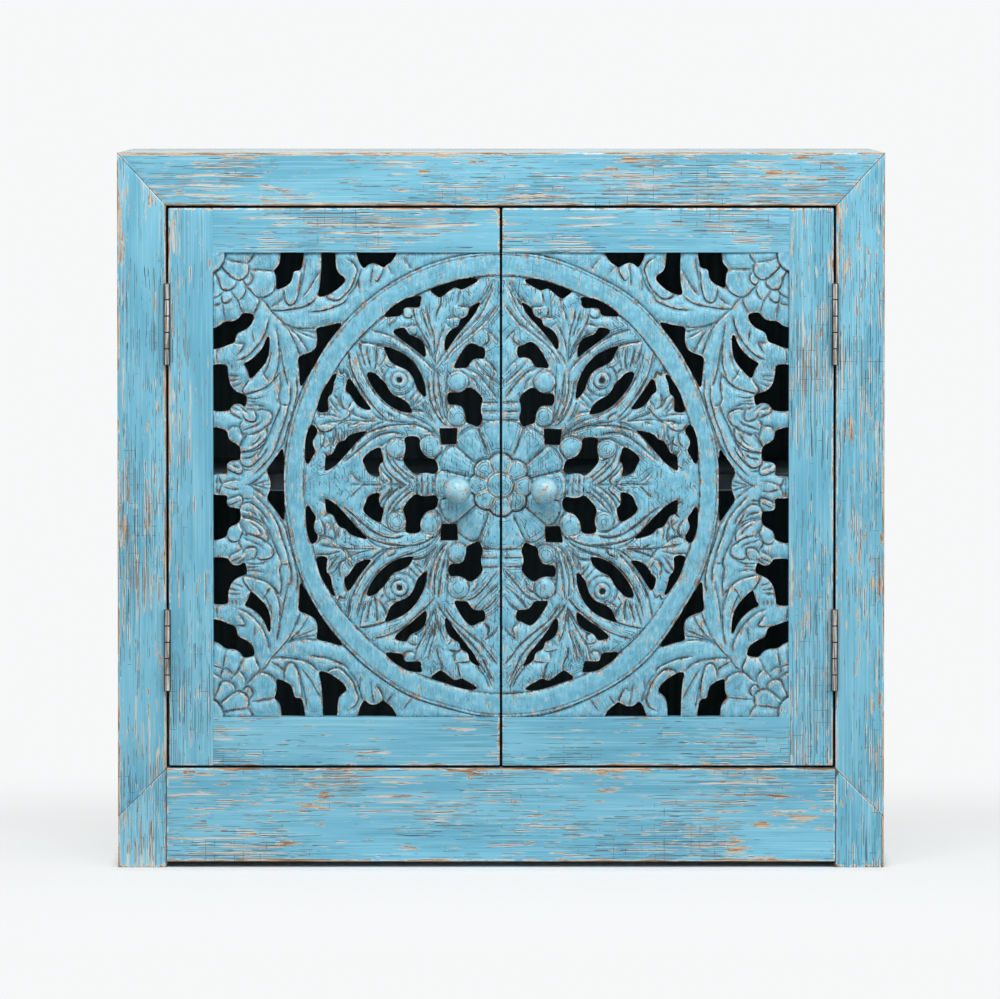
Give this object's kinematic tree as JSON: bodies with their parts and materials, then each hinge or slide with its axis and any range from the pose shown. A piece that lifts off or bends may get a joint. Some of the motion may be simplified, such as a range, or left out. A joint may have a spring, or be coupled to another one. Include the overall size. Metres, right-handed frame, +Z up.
{
  "type": "carved wooden cabinet",
  "caption": "Low wooden cabinet with pierced, floral-carved hinged doors in distressed blue paint, ball knobs and a shelf inside.",
  "frame": {"origin": "on the floor under the middle of the bounding box, knobs included", "axes": "+Z up, doors face -Y, +X to the right of a person facing the doors"},
  "size_m": [0.9, 0.436, 0.84],
  "materials": {
    "painted_wood": "distressed sky blue paint over carved hardwood",
    "inside_wood": "dark stained, matt",
    "bare_wood": "bare",
    "hinge_metal": "aged, dull",
    "steel": "plain",
    "catch_body": "brown"
  },
  "bodies": {
    "case": {"apron_rail": "painted_wood", "back_panel": "inside_wood", "back_screws": "steel", "bottom_board": "inside_wood", "cleat_screws": "steel", "door_stop": "inside_wood", "face_top_rail": "painted_wood", "frame_dowels": "bare_wood", "frame_hinge_screws": "steel", "left_catch": "catch_body", "left_face_stile": "painted_wood", "left_floor_cleat": "inside_wood", "left_front_foot": "painted_wood", "left_lower_frame_leaf": "hinge_metal", "left_lower_hinge_pin": "hinge_metal", "left_shelf_cleat": "inside_wood", "left_side_panel": "painted_wood", "left_upper_frame_leaf": "hinge_metal", "left_upper_hinge_pin": "hinge_metal", "middle_shelf": "inside_wood", "right_catch": "catch_body", "right_face_stile": "painted_wood", "right_floor_cleat": "inside_wood", "right_front_foot": "painted_wood", "right_lower_frame_leaf": "hinge_metal", "right_lower_hinge_pin": "hinge_metal", "right_shelf_cleat": "inside_wood", "right_side_panel": "painted_wood", "right_upper_frame_leaf": "hinge_metal", "right_upper_hinge_pin": "hinge_metal", "top_board": "painted_wood"},
    "left_door": {"left_carved_panel": "painted_wood", "left_door_bottom_rail": "painted_wood", "left_door_hinge_screws": "steel", "left_door_stile": "painted_wood", "left_door_top_rail": "painted_wood", "left_knob": "painted_wood", "left_knob_screw": "steel", "left_lower_door_leaf": "hinge_metal", "left_strike": "steel", "left_upper_door_leaf": "hinge_metal"},
    "right_door": {"right_carved_panel": "painted_wood", "right_door_bottom_rail": "painted_wood", "right_door_hinge_screws": "steel", "right_door_stile": "painted_wood", "right_door_top_rail": "painted_wood", "right_knob": "painted_wood", "right_knob_screw": "steel", "right_lower_door_leaf": "hinge_metal", "right_strike": "steel", "right_upper_door_leaf": "hinge_metal"}
  },
  "joints": [
    {"name": "left_door_hinge", "type": "hinge", "parent": "case", "child": "left_door", "pos_m": [-0.3915, -0.1863, 0.4475], "axis": [0, 0, -1], "range_deg": [0, 170]},
    {"name": "right_door_hinge", "type": "hinge", "parent": "case", "child": "right_door", "pos_m": [0.3915, -0.1863, 0.4475], "axis": [0, 0, 1], "range_deg": [0, 170]}
  ]
}
